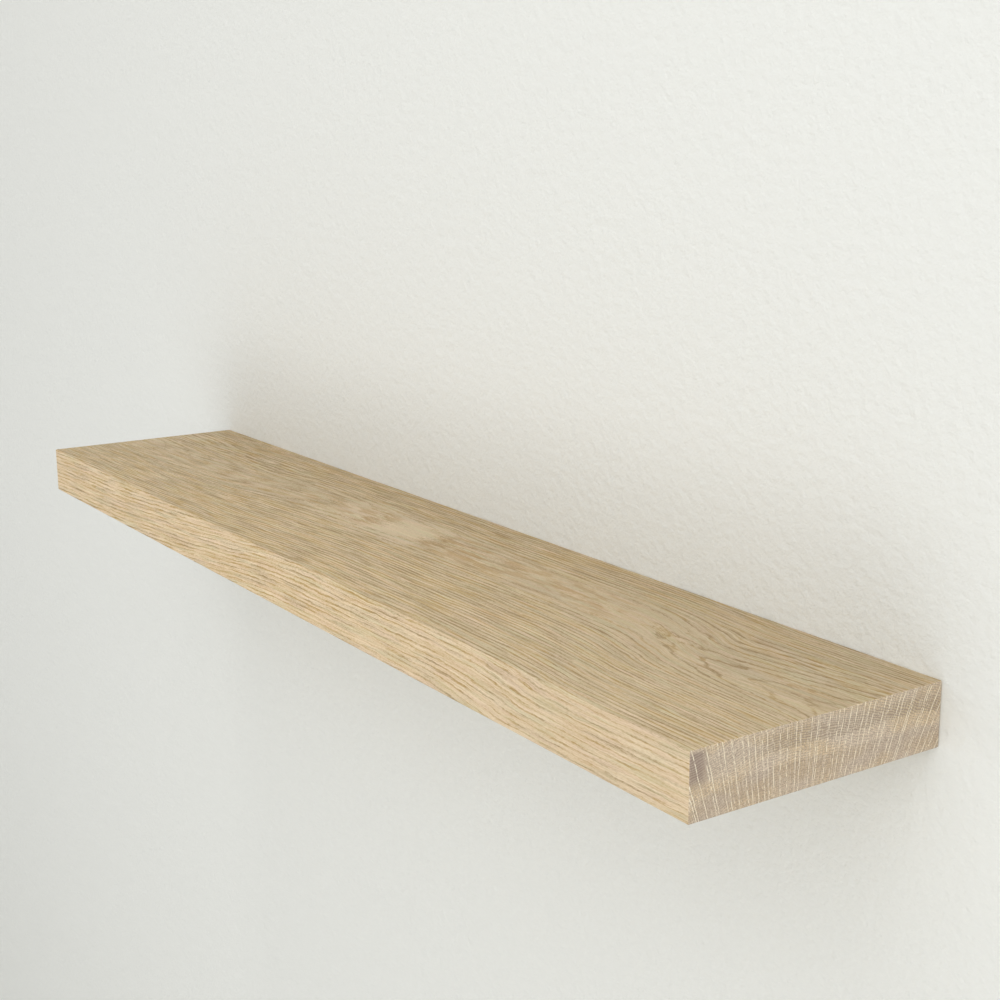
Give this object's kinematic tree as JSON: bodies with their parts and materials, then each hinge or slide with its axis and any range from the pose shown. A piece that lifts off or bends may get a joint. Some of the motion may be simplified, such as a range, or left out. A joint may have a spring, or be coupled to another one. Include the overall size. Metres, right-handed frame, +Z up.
{
  "type": "floating wall shelf",
  "caption": "Floating wall shelf: a thick solid oak board on a concealed steel bracket with rods, wall screws and plugs, locked by small screws in the underside.",
  "frame": {"origin": "on the wall's face, at the centre of the bracket bar's back, where the centre screw and plug enter the wall", "axes": "+X along the shelf, +Y into the wall, +Z up"},
  "size_m": [0.9, 0.2302, 0.038],
  "materials": {
    "oak": "natural oil, matt",
    "bracket_steel": "zinc plated",
    "weld_metal": "ground weld",
    "screw_steel": "yellow zinc plated",
    "plug_nylon": "moulded",
    "insert_brass": "turned",
    "lock_steel": "black oxide",
    "pad_nylon": "moulded"
  },
  "bodies": {
    "bracket": {"wall_bar": "bracket_steel", "support_rod_1": "bracket_steel", "support_rod_2": "bracket_steel", "support_rod_3": "bracket_steel", "support_rod_4": "bracket_steel", "rod_weld_1": "weld_metal", "rod_weld_2": "weld_metal", "rod_weld_3": "weld_metal", "rod_weld_4": "weld_metal", "wall_screw_1": "screw_steel", "wall_screw_2": "screw_steel", "wall_screw_3": "screw_steel", "wall_screw_4": "screw_steel", "wall_screw_5": "screw_steel", "wall_plug_1": "plug_nylon", "wall_plug_2": "plug_nylon", "wall_plug_3": "plug_nylon", "wall_plug_4": "plug_nylon", "wall_plug_5": "plug_nylon"},
    "shelf": {"shelf_board": "oak", "lock_insert_1": "insert_brass", "lock_insert_2": "insert_brass"},
    "lock_pad_1": {"lock_pad_1": "pad_nylon"},
    "lock_pad_2": {"lock_pad_2": "pad_nylon"},
    "lock_screw_1": {"lock_screw_1": "lock_steel"},
    "lock_screw_2": {"lock_screw_2": "lock_steel"}
  },
  "joints": [
    {"name": "shelf_slide", "type": "slide", "parent": "bracket", "child": "shelf", "axis": [0, -1, 0], "range_m": [0, 0.135]},
    {"name": "lock_travel_1", "type": "slide", "parent": "shelf", "child": "lock_pad_1", "axis": [0, 0, 1], "range_m": [-0.0025, 0]},
    {"name": "lock_turn_1", "type": "hinge", "parent": "lock_pad_1", "child": "lock_screw_1", "pos_m": [-0.33, -0.06, 0], "axis": [0, 0, 1], "range_deg": [-901, 0]},
    {"name": "lock_travel_2", "type": "slide", "parent": "shelf", "child": "lock_pad_2", "axis": [0, 0, 1], "range_m": [-0.0025, 0]},
    {"name": "lock_turn_2", "type": "hinge", "parent": "lock_pad_2", "child": "lock_screw_2", "pos_m": [0.33, -0.06, 0], "axis": [0, 0, 1], "range_deg": [-901, 0]}
  ],
  "couplings": [
    {"joint": "lock_turn_1", "follows": "lock_travel_1", "rad_per_m": 6283.2},
    {"joint": "lock_turn_2", "follows": "lock_travel_2", "rad_per_m": 6283.2}
  ]
}
